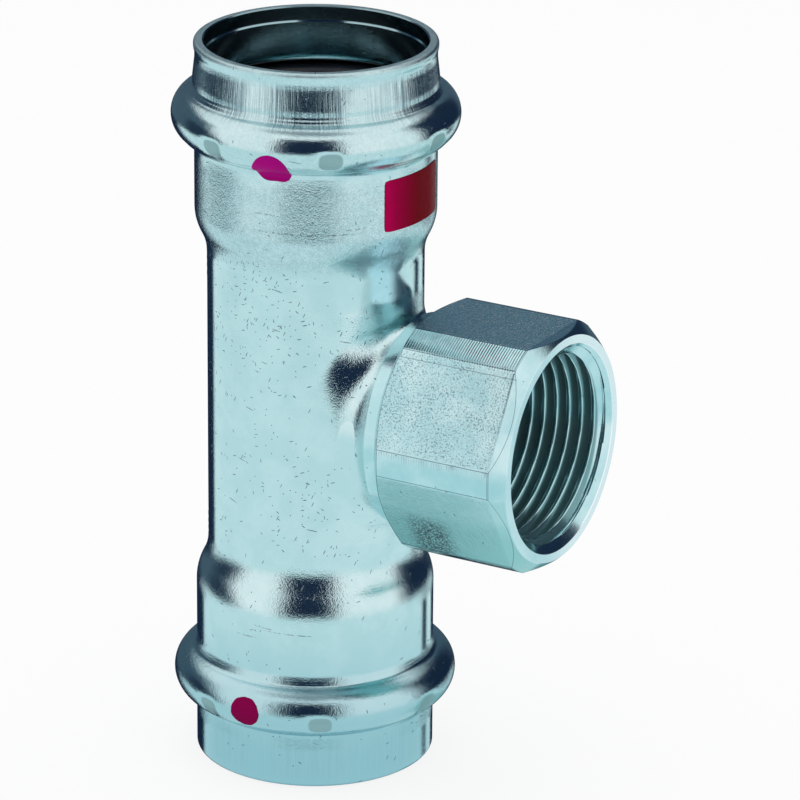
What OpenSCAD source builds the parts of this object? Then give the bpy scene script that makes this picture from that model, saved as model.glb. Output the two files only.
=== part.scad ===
// Press tee: a formed steel run with two press sockets and a hexagonal branch with a female pipe thread.
// Lengths in millimetres. The run stands on +Z from the middle of the lower mouth.
// The branch leaves along +X.

/* [Run] */
// Length of the run from mouth to mouth
run_length = 97; // [92:1:104]
// Outside diameter of the plain tube
tube_od = 28; // [27.6:0.1:28.4]
// Wall thickness of the plain tube
tube_wall = 1.5; // [1.2:0.1:1.8]

/* [Press sockets] */
// Outside diameter of the collar at each mouth
collar_od = 31.2; // [31:0.1:31.8]
// Depth of the shallow waist behind each rim
collar_waist = 0.15; // [0:0.05:0.25]
// Outward flare of each collar where it meets its bead
collar_flare = 0.15; // [0.05:0.05:0.3]
// Outside diameter of the barrel behind each bead
barrel_od = 31.1; // [30.9:0.1:31.4]
// Inside diameter of each socket
socket_bore = 28.4; // [28.2:0.05:28.6]
// Distance from each bead's crest to the stop where its socket's bore narrows
stop_reach = 12.8; // [12.4:0.1:13.4]
// Outside diameter over each bead
bead_od = 37; // [36.4:0.1:37.6]
// Outer radius of the bead's round section
bead_radius = 3.35; // [3.1:0.05:3.5]
// Height of the lower bead's crest over the lower mouth
lower_bead_height = 10.9; // [9.5:0.1:11.2]
// Depth of the upper bead's crest under the upper mouth
upper_bead_depth = 9.6; // [9.2:0.1:11.2]
// Fillet between a collar and its bead
collar_fillet = 1; // [0.8:0.1:1.5]
// Fillet between a bead and its barrel
barrel_fillet = 1.1; // [0.9:0.1:1.5]
// Rounding of each mouth's outer edge
rim_round = 0.45; // [0.3:0.05:0.6]
// Chamfer of each mouth's inner edge
rim_chamfer = 0.25; // [0.15:0.05:0.35]
// Distance from each bead's crest to the start of its shoulder
barrel_reach = 12.4; // [11.8:0.1:13]
// Length of the shoulder between barrel and tube
shoulder_length = 6.2; // [5:0.1:7]
// Number of shallow dimples pressed into each bead
dimple_count = 7; // [5:1:9]
// Depth of each dimple
dimple_depth = 0.2; // [0.1:0.05:0.25]
// Height by which each dimple lies under its bead's crest
dimple_drop = 1.1; // [0.8:0.1:1.6]
// Direction of one upper dimple around the run
upper_dimple_angle = -54.5; // [-60:0.5:-50]
// Direction of one lower dimple around the run
lower_dimple_angle = -58.2; // [-60:0.1:-50]

/* [Seal rings] */
// Wall left between a bead's crest and its groove
groove_wall = 1.35; // [1.2:0.05:1.5]
// Thickness of a seal ring, from its groove's crown to its inside
seal_section = 3.05; // [2.8:0.05:3.1]

/* [Branch] */
// Distance of the branch's end face from the run's axis
branch_reach = 36.4; // [36:0.1:38]
// Outside diameter of the drawn neck where it meets the connector
neck_od = 25.2; // [25:0.1:25.8]
// Diameter of the passage through the neck
neck_bore = 22; // [21:0.25:22]
// Distance of the neck's end from the run's axis
neck_reach = 15.3; // [15:0.1:15.8]
// Height of the neck's blend over and under its own radius
blend_height = 1; // [0.8:0.1:1.4]
// Share of the tube's radius at which the blend leaves its sides
blend_side = 0.88; // [0.86:0.01:0.92]
// Fullness of the blend's outline on the tube: 2 is an ellipse, more is squarer
blend_fullness = 3.8; // [3:0.2:4.4]
// Width of the connector across its flats
hex_af = 30; // [29.6:0.1:30.4]
// Diameter of the connector's turned corners
corner_od = 32.9; // [32.5:0.1:33.3]
// Diameter of the connector's end face
face_od = 29.5; // [29:0.1:29.8]
// Diameter of the turned hub behind the hexagon
hub_od = 27.8; // [27.2:0.1:28.4]
// Length of the turned hub
hub_length = 1.5; // [1.2:0.1:1.8]
// Length of the connector's front chamfer
front_chamfer = 1.8; // [1.4:0.1:2]
// Length of the connector's rear chamfer
rear_chamfer = 1.75; // [1.5:0.05:2]
// Minor diameter of the pipe thread, the size of the plain bore
thread_minor = 24.117; // [23.8:0.001:24.4]
// Depth of the threaded bore from the end face
thread_depth = 16.4; // [15:0.1:17]
// Diameter of the countersink at the end face
countersink_od = 27.3; // [26.8:0.1:27.6]

/* [Colour marks] */
// Thickness of the paint films
film = 0.12; // [0.1:0.01:0.2]
// Direction of the band mark's middle around the run
band_mark_angle = -4; // [-10:1:10]
// Angle that the band mark covers
band_mark_sweep = 43; // [30:1:60]
// Height of the band mark
band_mark_height = 6.8; // [5:0.1:7]
// Depth of the band mark's upper edge under the upper mouth
band_mark_depth = 14.8; // [14:0.1:15]
// Direction of the upper paint dot around the run
upper_dot_angle = -78; // [-90:1:-60]
// Distance of the upper paint dot's middle under the bead's crest
upper_dot_drop = 2.2; // [1.2:0.1:2.2]
// Direction of the lower paint dot around the run
lower_dot_angle = -90; // [-100:1:-80]
// Diameter of the upper paint dot
upper_dot_diameter = 4.4; // [3.4:0.1:4.4]
// Diameter of the lower paint dot
lower_dot_diameter = 4.2; // [3:0.1:4.2]

/* [Hidden] */
$fn = 120;
eps = 0.01;
tube_r = tube_od / 2;
bore_r = tube_r - tube_wall;
collar_r = collar_od / 2;
barrel_r = barrel_od / 2;
socket_r = socket_bore / 2;
bead_r = bead_od / 2;
bead_centre_r = bead_r - bead_radius;
groove_r = bead_radius - groove_wall;
seal_section_r = seal_section / 2;
seal_centre_r = bead_centre_r + groove_r - seal_section_r;
seat_share = 0.72;
seat_r = bead_centre_r + seat_share * groove_r;
groove_throat = 0.84 * groove_r;
half_shoulder = shoulder_length / 2;
shoulder_drop = (barrel_r - tube_r) / 2;
shoulder_arc = (half_shoulder * half_shoulder + shoulder_drop * shoulder_drop) / (2 * shoulder_drop);
stop_length = shoulder_length - 1.2;
lower_stop_z = lower_bead_height + stop_reach;
upper_stop_z = run_length - upper_bead_depth - stop_reach;
dimple_sphere_r = 7;
dimple_tilt = asin(dimple_drop / bead_radius);
upper_bead_z = run_length - upper_bead_depth;
branch_z = run_length / 2;
film_lift = 0.01;
neck_r = neck_od / 2;
corner_r = corner_od / 2;
thread_r = thread_minor / 2;
countersink_depth = countersink_od / 2 - thread_r;
foot_r = tube_r - 0.05;
blend_pull = 0.9;
end_pull = 0.26;
end_waist = 0.3;
blend_columns = 72;
blend_rows = 8;
steel = [0.74, 0.82, 0.84];
rubber = [0.06, 0.06, 0.07];
crimson = [0.62, 0.04, 0.16];

// Height of the fillet's centre beside a bead's crest, for a wall of the given radius.
function fillet_offset(wall_r, fillet) =
    sqrt(pow(bead_radius + fillet, 2) - pow(wall_r + fillet - bead_centre_r, 2));

// Width of the fill between a wall and the point where the fillet touches the bead.
function fillet_width(wall_r, fillet) =
    fillet * (1 - (wall_r + fillet - bead_centre_r) / (bead_radius + fillet));

// Fill between a wall and the bead on one side: the corner strip less the fillet's circle.
module fillet_section(wall_r, fillet, side) {
    reach = fillet_offset(wall_r, fillet);
    difference() {
        translate([wall_r - 0.5, side > 0 ? 0 : -reach])
            square([0.5 + fillet_width(wall_r, fillet), reach]);
        translate([wall_r + fillet, side * reach]) circle(r = fillet);
    }
}

// Outer section of the bead with both fillets, around its crest's height.
// The collar lies on the +1 or -1 side.
module bead_section(collar_side) {
    translate([bead_centre_r, 0]) circle(r = bead_radius);
    fillet_section(collar_r + collar_flare, collar_fillet, collar_side);
    fillet_section(barrel_r, barrel_fillet, -collar_side);
}

// Outer half section of one socket, seen from its mouth at height zero up to the shoulder's end.
module socket_section(bead_height) {
    shoulder_start = bead_height + barrel_reach;
    polygon([
        [0, rim_round], [collar_r, rim_round], [collar_r, 2 * rim_round],
        [collar_r - collar_waist, 3 * rim_round], [collar_r - collar_waist, 5 * rim_round],
        [collar_r + collar_flare, bead_height - 1.4 * bead_radius],
        [collar_r + collar_flare, bead_height], [0, bead_height]
    ]);
    square([collar_r - rim_round, rim_round + eps]);
    translate([collar_r - rim_round, rim_round]) circle(r = rim_round);
    translate([0, bead_height - eps]) square([barrel_r, barrel_reach + eps]);
    translate([0, bead_height]) bead_section(-1);
    translate([0, shoulder_start]) shoulder_section();
}

// Two tangent arcs that bring the barrel's radius down to the tube's, from height zero.
module shoulder_section() {
    middle_r = (barrel_r + tube_r) / 2;
    intersection() {
        translate([0, -eps]) square([barrel_r, half_shoulder + eps]);
        union() {
            translate([barrel_r - shoulder_arc, 0]) circle(r = shoulder_arc);
            translate([0, -eps]) square([barrel_r - shoulder_arc, half_shoulder + eps]);
        }
    }
    difference() {
        translate([0, half_shoulder - eps]) square([middle_r, half_shoulder + eps]);
        translate([tube_r + shoulder_arc, shoulder_length]) circle(r = shoulder_arc);
    }
}

// Half section of the space inside one socket: chamfered mouth, bore, seal groove and stop cone.
module socket_space(bead_height) {
    stop = bead_height + stop_reach;
    polygon([
        [0, -1], [socket_r + rim_chamfer + 1, -1], [socket_r, rim_chamfer],
        [socket_r, stop], [bore_r, stop + stop_length], [0, stop + stop_length]
    ]);
    translate([bead_centre_r, bead_height]) circle(r = groove_r);
    translate([0, bead_height - groove_throat]) square([bead_centre_r, 2 * groove_throat]);
}

// Points where the blend leaves the tube and where it meets the neck's end, by their angle
// around the branch.
function fullness(a) =
    pow(pow(abs(cos(a)), blend_fullness) + pow(abs(sin(a)), blend_fullness), -1 / blend_fullness);
function foot(a) =
    let (y = foot_r * blend_side * fullness(a) * cos(a))
    [sqrt(foot_r * foot_r - y * y), y, (neck_r + blend_height) * fullness(a) * sin(a)];
function neck_end(a) = [neck_reach, neck_r * cos(a), neck_r * sin(a)];

// The way from the foot to the neck's end, laid flat on the tube's wall.
function foot_pull(a) =
    let (d = neck_end(a) - foot(a), n = [foot(a)[0], foot(a)[1], 0] / foot_r)
    d - (d * n) * n;

// Point on the blend's curve: column angle around the branch, share of the way from the tube.
function blend_point(a, t) =
    pow(1 - t, 3) * foot(a)
    + 3 * pow(1 - t, 2) * t * (foot(a) + blend_pull * foot_pull(a))
    + 3 * (1 - t) * t * t
    * (neck_end(a) - end_pull * (neck_reach - foot(a)[0]) * [1, end_waist * cos(a), end_waist * sin(a)])
    + t * t * t * neck_end(a);

// Neck drawn out of the tube: a soft saddle from the tube's wall to the round end under the connector.
module neck_blend() {
    rings = [
        for (j = [0 : blend_rows]) for (i = [0 : blend_columns - 1])
            blend_point(360 * i / blend_columns, j / blend_rows)
    ];
    last = blend_rows * blend_columns;
    n = blend_columns;
    sides = [
        for (j = [0 : blend_rows - 1]) for (i = [0 : n - 1]) for (half = [0, 1])
            half == 0
            ? [j * n + i, (j + 1) * n + i, (j + 1) * n + (i + 1) % n]
            : [j * n + i, (j + 1) * n + (i + 1) % n, j * n + (i + 1) % n]
    ];
    root = [for (i = [0 : n - 1]) [last + n, i, (i + 1) % n]];
    cap = [for (i = [0 : n - 1]) [last + n + 1, last + (i + 1) % n, last + i]];
    translate([0, 0, branch_z])
        polyhedron(
            points = concat(rings, [[0, 0, 0], [neck_reach, 0, 0]]),
            faces = concat(sides, root, cap),
            convexity = 6
        );
}

// Outer solid of the run without its neck.
module run_solid() {
    plain_start = lower_bead_height + barrel_reach + shoulder_length;
    plain_end = run_length - upper_bead_depth - barrel_reach - shoulder_length;
    rotate_extrude() {
        socket_section(lower_bead_height);
        translate([0, run_length]) mirror([0, 1]) socket_section(upper_bead_depth);
        translate([0, plain_start - eps]) square([tube_r, plain_end - plain_start + 2 * eps]);
    }
}

// Shallow dimples around one bead, each pressed square to its round section.
module dimples(z, start_angle) {
    for (i = [0 : dimple_count - 1])
        rotate([0, 0, start_angle + 360 * i / dimple_count])
            translate([bead_centre_r, 0, z])
                rotate([0, dimple_tilt, 0])
                    translate([bead_radius - dimple_depth + dimple_sphere_r, 0, 0])
                        sphere(r = dimple_sphere_r);
}

// One-piece steel run with its sockets and neck.
module tee_body() {
    color(steel)
        difference() {
            union() {
                run_solid();
                neck_blend();
            }
            rotate_extrude() {
                socket_space(lower_bead_height);
                translate([0, run_length]) mirror([0, 1]) socket_space(upper_bead_depth);
            }
            translate([0, 0, lower_stop_z]) cylinder(h = upper_stop_z - lower_stop_z, r = bore_r);
            translate([0, 0, branch_z]) rotate([0, 90, 0]) cylinder(h = neck_reach + 1, r = neck_bore / 2);
            dimples(lower_bead_height, lower_dimple_angle);
            dimples(upper_bead_z, upper_dimple_angle);
        }
}

// Hexagonal connector: turned hub and corners, chamfered ends, countersunk bore at the thread's minor
// diameter, and the neck's passage through its rear web.
module threaded_branch() {
    length = branch_reach - neck_reach;
    corner_start = hub_length + rear_chamfer;
    color(steel)
        translate([neck_reach, 0, branch_z]) rotate([0, 90, 0])
            difference() {
                intersection() {
                    rotate([0, 0, 30]) cylinder(h = length, r = hex_af / sqrt(3), $fn = 6);
                    rotate_extrude()
                        polygon([
                            [0, 0], [hub_od / 2, 0], [hub_od / 2, hub_length], [corner_r, corner_start],
                            [corner_r, length - front_chamfer], [face_od / 2, length], [0, length]
                        ]);
                }
                translate([0, 0, -1]) cylinder(h = length + 2, r = neck_bore / 2);
                translate([0, 0, length - thread_depth]) cylinder(h = thread_depth + 1, r = thread_r);
                translate([0, 0, length - countersink_depth])
                    cylinder(h = countersink_depth + 1, r1 = thread_r, r2 = countersink_od / 2 + 1);
            }
}

// Rubber ring whose crown fills the crown of its groove.
module seal_ring(z) {
    color(rubber)
        translate([0, 0, z])
            rotate_extrude() {
                translate([seal_centre_r, 0]) circle(r = seal_section_r);
                intersection() {
                    translate([bead_centre_r, 0]) circle(r = groove_r);
                    translate([seat_r, -groove_r]) square([groove_r, 2 * groove_r]);
                }
            }
}

module upper_seal_ring() { seal_ring(upper_bead_z); }

module lower_seal_ring() { seal_ring(lower_bead_height); }

// Film of paint on the upper barrel, under the bead.
module red_band_mark() {
    color(crimson)
        rotate([0, 0, band_mark_angle - band_mark_sweep / 2])
            rotate_extrude(angle = band_mark_sweep)
                translate([barrel_r + film_lift, run_length - band_mark_depth - band_mark_height])
                    square([film, band_mark_height]);
}

// Film over one bead and its fillets, cut out by a round pin that points at the dot's middle.
module paint_dot(z, collar_side, angle, height, diameter) {
    color(crimson)
        intersection() {
            translate([0, 0, z])
                difference() {
                    rotate_extrude() translate([film_lift + film, 0]) bead_section(collar_side);
                    rotate_extrude() translate([film_lift, 0]) bead_section(collar_side);
                }
            rotate([0, 0, angle])
                translate([bead_centre_r, 0, z + height])
                    rotate([0, 90, 0]) cylinder(h = 2 * bead_radius, r = diameter / 2);
        }
}

module upper_paint_dot() {
    paint_dot(upper_bead_z, 1, upper_dot_angle, -upper_dot_drop, upper_dot_diameter);
}

module lower_paint_dot() {
    paint_dot(lower_bead_height, -1, lower_dot_angle, 0, lower_dot_diameter);
}

tee_body();
threaded_branch();
upper_seal_ring();
lower_seal_ring();
red_band_mark();
upper_paint_dot();
lower_paint_dot();
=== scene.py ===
"""Press tee with a hexagonal branch: its zinc, rubber and paint, in a small pale studio.

All shapes are written in millimetres in the model's own frame: the run stands on +Z from the
middle of its lower mouth and the branch leaves along +X. Meshes are turned into metres once.
"""
import logging
import math
from dataclasses import dataclass, field
from enum import Enum
from typing import Callable

import bpy
import numpy as np
from mathutils import Matrix


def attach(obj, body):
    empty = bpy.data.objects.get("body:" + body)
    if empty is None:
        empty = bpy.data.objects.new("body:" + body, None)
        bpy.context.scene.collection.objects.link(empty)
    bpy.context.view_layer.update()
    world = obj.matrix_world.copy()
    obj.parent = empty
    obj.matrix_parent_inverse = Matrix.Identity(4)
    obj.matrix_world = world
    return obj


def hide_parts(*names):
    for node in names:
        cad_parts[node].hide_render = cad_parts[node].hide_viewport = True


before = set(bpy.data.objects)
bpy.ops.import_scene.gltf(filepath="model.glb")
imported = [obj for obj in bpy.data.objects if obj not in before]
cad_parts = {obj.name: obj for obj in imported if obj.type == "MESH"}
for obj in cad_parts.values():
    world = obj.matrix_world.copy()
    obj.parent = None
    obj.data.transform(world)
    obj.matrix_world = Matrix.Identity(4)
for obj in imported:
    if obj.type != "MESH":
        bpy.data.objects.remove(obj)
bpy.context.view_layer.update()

LOG = logging.getLogger("press_tee")
MM = 0.001
Array = np.ndarray
Socket = bpy.types.NodeSocket
Value = float | Socket
Colour = tuple[float, float, float]
Triple = tuple[float, float, float]


@dataclass(frozen=True)
class Patch:
    """A grid of surface points, rows x columns x 3, with the outward normal at each of them."""

    points: Array
    normals: Array


@dataclass(frozen=True)
class Strip:
    """A stretch of a turned section: rows of (radius, height) with their outward normals."""

    points: Array
    normals: Array

    def flipped(self, length: float) -> "Strip":
        """The same stretch seen from the other end of a run of that length."""
        turn = np.array([1.0, -1.0])
        return Strip(self.points * turn + [0.0, length], self.normals * turn)


def unit(vectors: Array) -> Array:
    """Vectors divided by their own lengths."""
    return vectors / np.maximum(np.linalg.norm(vectors, axis=-1, keepdims=True), 1e-12)


def line(start: tuple[float, float], end: tuple[float, float], side: float = 1.0) -> Strip:
    """Straight stretch from start to end, in one step.

    Args:
        start: first radius and height.
        end: last radius and height.
        side: 1 puts the normal to the right of the way, -1 to its left.

    Returns:
        The stretch with one normal for both its rows.
    """
    rows = np.array([start, end], float)
    way = rows[1] - rows[0]
    normal = unit(side * np.array([way[1], -way[0]]))
    return Strip(rows, np.stack([normal, normal]))


def arc(centre: tuple[float, float], radius: float, start: float, end: float, count: int,
        hollow: bool = False) -> Strip:
    """Circle stretch: centre plus radius times (cosine, sine) of even angles.

    Args:
        centre: radius and height of the circle's middle.
        radius: radius of the circle.
        start: first angle in degrees from the radial direction.
        end: last angle in degrees.
        count: number of steps.
        hollow: True turns the normals towards the middle.

    Returns:
        The stretch with its round normals.
    """
    angle = np.radians(np.linspace(start, end, count + 1))
    ray = np.stack([np.cos(angle), np.sin(angle)], axis=-1)
    return Strip(np.array(centre) + radius * ray, -ray if hollow else ray)


def turned(strip: Strip, angles: Array) -> Patch:
    """Section carried round Z: (r cos a, r sin a, z) for each row and each angle.

    Args:
        strip: section rows.
        angles: directions in radians.

    Returns:
        The grid with one row for each section row.
    """
    def carried(pairs: Array) -> Array:
        """Radial and axial parts turned to each direction."""
        r, z = pairs[:, 0, None], pairs[:, 1, None]
        return np.stack([r * np.cos(angles), r * np.sin(angles), z + 0.0 * angles], axis=-1)

    return Patch(carried(strip.points), carried(strip.normals))


def along_x(radius: Array, x: Array, angles: Array, n_radial: Array, n_axial: Array,
            axis_z: float) -> Patch:
    """Grid round the branch's axis: (x, r cos a, axis height + r sin a).

    Args:
        radius: rows x columns distances from the axis.
        x: rows x columns places along the axis.
        angles: directions in radians, from +Y towards +Z.
        n_radial: radial part of the normals.
        n_axial: axial part of the normals.
        axis_z: height of the axis.

    Returns:
        The grid.
    """
    radius, x, angles, n_radial, n_axial = np.broadcast_arrays(radius, x, angles, n_radial, n_axial)
    c, s = np.cos(angles), np.sin(angles)
    points = np.stack([x, radius * c, axis_z + radius * s], axis=-1)
    return Patch(points, unit(np.stack([n_axial, n_radial * c, n_radial * s], axis=-1)))


def pressed(patch: Patch, height: Callable[[Array], Array]) -> Patch:
    """Moves each point along its normal by a height, and leans the normal against the slope.

    The slope is the height's gradient by central differences of 0.02 mm, laid on the surface.

    Args:
        patch: the grid.
        height: rise over the surface in millimetres, as a function of points.

    Returns:
        The raised grid.
    """
    step = 0.02
    slope = np.stack([(height(patch.points + step * e) - height(patch.points - step * e)) / (2 * step)
                      for e in np.eye(3)], axis=-1)
    normals = patch.normals
    slope = slope - (slope * normals).sum(-1, keepdims=True) * normals
    return Patch(patch.points + height(patch.points)[..., None] * normals, unit(normals - slope))


def welded(patches: list[Patch]) -> tuple[Array, Array, Array, Array]:
    """Joins grids into one skin: points nearer than 0.1 micrometre become one.

    Each grid's cells are turned so that they face the way its normals point. A cell with two
    corners in one place becomes a triangle.

    Args:
        patches: the grids.

    Returns:
        Points, four-sided faces, three-sided faces, and one normal for each face corner in order.
    """
    points, normals, cells, start = [], [], [], 0
    for patch in patches:
        rows, columns = patch.points.shape[:2]
        i = start + np.arange(rows * columns).reshape(rows, columns)
        cell = np.stack([i[:-1, :-1], i[:-1, 1:], i[1:, 1:], i[1:, :-1]], axis=-1).reshape(-1, 4)
        p, n = patch.points.reshape(-1, 3), patch.normals.reshape(-1, 3)
        k = cell - start
        facing = np.cross(p[k[:, 2]] - p[k[:, 0]], p[k[:, 3]] - p[k[:, 1]])
        if (facing * n[k].sum(axis=1)).sum() < 0:
            cell = cell[:, ::-1]
        points.append(p)
        normals.append(n)
        cells.append(cell)
        start += len(p)
    p, n, cell = np.concatenate(points), np.concatenate(normals), np.concatenate(cells)
    _, first, place = np.unique(np.floor(p / 1e-4 + 0.37).astype(np.int64), axis=0,
                                return_index=True, return_inverse=True)
    own = place.reshape(-1)[cell]
    same = own == np.roll(own, -1, axis=1)
    full, folded = same.sum(axis=1) == 0, same.sum(axis=1) == 1
    order = (same[folded].argmax(axis=1)[:, None] + 1 + np.arange(3)) % 4
    thin = np.take_along_axis(cell[folded], order, axis=1)
    corner_normals = np.concatenate([n[cell[full]].reshape(-1, 3), n[thin].reshape(-1, 3)])
    return p[first], own[full], place.reshape(-1)[thin], corner_normals


def piece(name: str, patches: list[Patch], material: bpy.types.Material,
          stands_for: str) -> bpy.types.Object:
    """Makes one finished piece that rides on the model's body and stands for its plain solid.

    Args:
        name: name of the new object.
        patches: its grids in millimetres.
        material: its finish.
        stands_for: the solid that it replaces.

    Returns:
        The object, at the origin, unturned and unscaled.
    """
    points, quads, triangles, normals = welded(patches)
    mesh = bpy.data.meshes.new(name)
    mesh.from_pydata((points * MM).tolist(), [], quads.tolist() + triangles.tolist())
    mesh.polygons.foreach_set("use_smooth", np.ones(len(mesh.polygons), bool))
    mesh.normals_split_custom_set(normals.tolist())
    mesh.materials.append(material)
    made = bpy.data.objects.new(name, mesh)
    bpy.context.collection.objects.link(made)
    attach(made, "root")
    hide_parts(stands_for)
    LOG.info("%s: %d faces", name, len(mesh.polygons))
    return made


class Graph:
    """Adds nodes to one node tree and links them."""

    def __init__(self, tree: bpy.types.NodeTree) -> None:
        """Keeps the tree."""
        self.tree = tree

    def node(self, kind: str, inputs: dict[str | int, Value | Colour], **settings: object) -> bpy.types.Node:
        """Adds a node.

        Args:
            kind: the node's type name.
            inputs: its sockets by name or number, each linked or set.
            settings: the node's own properties.

        Returns:
            The node.
        """
        made = self.tree.nodes.new(kind)
        for key, value in settings.items():
            setattr(made, key, value)
        for key, value in inputs.items():
            self.feed(made.inputs[key], value)
        return made

    def feed(self, target: Socket, value: Value | Colour) -> None:
        """Links a result to a socket, or sets the socket's own value."""
        if isinstance(value, bpy.types.NodeSocket):
            self.tree.links.new(value, target)
        elif isinstance(value, tuple) and target.type == "RGBA":
            target.default_value = (*value, 1.0)
        else:
            target.default_value = value

    def math(self, operation: str, a: Value, b: Value = 0.0, c: Value = 0.0) -> Socket:
        """One Math node's result."""
        return self.node("ShaderNodeMath", {0: a, 1: b, 2: c}, operation=operation).outputs[0]

    def times(self, first: Value, *more: Value) -> Socket:
        """Product of the values."""
        for value in more:
            first = self.math("MULTIPLY", first, value)
        return first

    def most(self, first: Value, *more: Value) -> Socket:
        """Largest of the values."""
        for value in more:
            first = self.math("MAXIMUM", first, value)
        return first

    def scaled(self, a: Value, b: Value, c: Value) -> Socket:
        """The first value times the second, plus the third."""
        return self.math("MULTIPLY_ADD", a, b, c)

    def plus(self, a: Value, b: Value) -> Socket:
        """Sum of two values."""
        return self.math("ADD", a, b)

    def minus(self, a: Value, b: Value) -> Socket:
        """The first value less the second."""
        return self.math("SUBTRACT", a, b)

    def noise(self, vector: Socket, scale: Value, detail: float = 2.0, roughness: float = 0.5) -> Socket:
        """One fractal noise value of about 0 to 1."""
        made = self.node("ShaderNodeTexNoise", {"Vector": vector, "Scale": scale, "Detail": detail,
                                                "Roughness": roughness})
        return made.outputs["Fac"]

    def ramp(self, value: Value, low: Value, high: Value, to_low: Value = 0.0, to_high: Value = 1.0,
             smooth: bool = True) -> Socket:
        """Value carried from one range to another, clamped, with soft ends where smooth."""
        return self.node("ShaderNodeMapRange", {0: value, 1: low, 2: high, 3: to_low, 4: to_high},
                         interpolation_type="SMOOTHSTEP" if smooth else "LINEAR").outputs[0]

    def mix(self, factor: Value, a: Socket | Colour, b: Socket | Colour) -> Socket:
        """Colour between a and b."""
        return self.node("ShaderNodeMix", {0: factor, 6: a, 7: b}, data_type="RGBA").outputs[2]

    def stretched(self, vector: Socket, scale: Triple, turn: Triple = (0.0, 0.0, 0.0)) -> Socket:
        """Coordinates turned by degrees and then scaled, in a Mapping node."""
        made = self.node("ShaderNodeMapping", {"Vector": vector}, vector_type="TEXTURE")
        made.inputs["Rotation"].default_value = tuple(math.radians(a) for a in turn)
        made.inputs["Scale"].default_value = tuple(1 / a for a in scale)
        return made.outputs[0]

    def effect(self, effect: "Effect", **inputs: Value) -> dict[str, Socket]:
        """Places a shared effect.

        Args:
            effect: which one.
            inputs: its values by name.

        Returns:
            Its results by name.
        """
        made = self.node("ShaderNodeGroup", {}, node_tree=bpy.data.node_groups[effect.value])
        for key, value in inputs.items():
            self.feed(made.inputs[key], value)
        return {s.name: s for s in made.outputs}


class Effect(Enum):
    """The shared effects, each a node group that is built once."""

    GRAIN = "mottled zinc grain"
    NICKS = "small dark nicks"
    WINDOW = "soft window"
    RINGS = "turning rings"


def group_tree(effect: Effect, inputs: list[str], outputs: list[str]) -> tuple[Graph, dict[str, Socket]]:
    """Starts a node group, whose input called Vector is one and whose others are numbers.

    Args:
        effect: which effect; its words name the group.
        inputs: names of its inputs.
        outputs: names of its values.

    Returns:
        The group's graph, its inputs by name, and its output node's sockets under "out:" names.
    """
    tree = bpy.data.node_groups.new(effect.value, "ShaderNodeTree")
    for name in inputs:
        kind = "NodeSocketVector" if name == "Vector" else "NodeSocketFloat"
        tree.interface.new_socket(name=name, in_out="INPUT", socket_type=kind)
    for name in outputs:
        tree.interface.new_socket(name=name, in_out="OUTPUT", socket_type="NodeSocketFloat")
    source = tree.nodes.new("NodeGroupInput")
    sink = tree.nodes.new("NodeGroupOutput")
    ends = {s.name: s for s in source.outputs if s.name}
    ends.update({"out:" + s.name: s for s in sink.inputs if s.name})
    return Graph(tree), ends


def build_grain() -> None:
    """Grain: fine noise plus half of a coarser one gives Height; a broad noise gives Cloud."""
    g, end = group_tree(Effect.GRAIN, ["Vector", "Scale"], ["Height", "Cloud"])
    fine = g.noise(end["Vector"], end["Scale"], 2.0, 0.6)
    coarse = g.noise(end["Vector"], g.times(end["Scale"], 0.3), 1.0)
    cloud = g.noise(end["Vector"], g.times(end["Scale"], 0.045), 3.0, 0.6)
    g.feed(end["out:Height"], g.scaled(coarse, 0.5, fine))
    g.feed(end["out:Cloud"], cloud)


def build_nicks() -> None:
    """Nicks: in a share of the cells of a flat random grid, one spot round the cell's own point."""
    g, end = group_tree(Effect.NICKS, ["Vector", "Scale", "Share", "Size"], ["Mask"])
    cell = g.node("ShaderNodeTexVoronoi", {"Vector": end["Vector"], "Scale": end["Scale"], "Randomness": 1.0},
                  voronoi_dimensions="2D")
    ragged = g.noise(end["Vector"], g.times(end["Scale"], 5.0), 1.0)
    reach = g.scaled(g.times(ragged, end["Size"]), 0.8, cell.outputs["Distance"])
    spot = g.ramp(reach, g.times(end["Size"], 1.9), g.times(end["Size"], 1.3))
    pick = g.node("ShaderNodeSeparateColor", {0: cell.outputs["Color"]}).outputs[0]
    chosen = g.math("LESS_THAN", pick, end["Share"])
    g.feed(end["out:Mask"], g.times(spot, chosen))


def build_window() -> None:
    """Window: 1 between Low and High, falling to 0 over Soft on both sides."""
    g, end = group_tree(Effect.WINDOW, ["Value", "Low", "High", "Soft"], ["Mask"])
    rise = g.ramp(end["Value"], g.minus(end["Low"], end["Soft"]), end["Low"])
    fall = g.ramp(end["Value"], g.plus(end["High"], end["Soft"]), end["High"])
    g.feed(end["out:Mask"], g.times(rise, fall))


def build_rings() -> None:
    """Rings: a cosine of the place over the period, each turn as high as a slow noise says."""
    g, end = group_tree(Effect.RINGS, ["Place", "Period", "Vector"], ["Height"])
    turns = g.math("DIVIDE", g.times(end["Place"], 2 * math.pi), end["Period"])
    wave = g.scaled(g.math("COSINE", turns), 0.5, 0.5)
    uneven = g.noise(end["Vector"], 900.0, 1.0)
    g.feed(end["out:Height"], g.times(wave, g.plus(uneven, 0.5)))


def build_effects() -> None:
    """Builds each shared effect once."""
    for build in (build_grain, build_nicks, build_window, build_rings):
        build()


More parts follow.
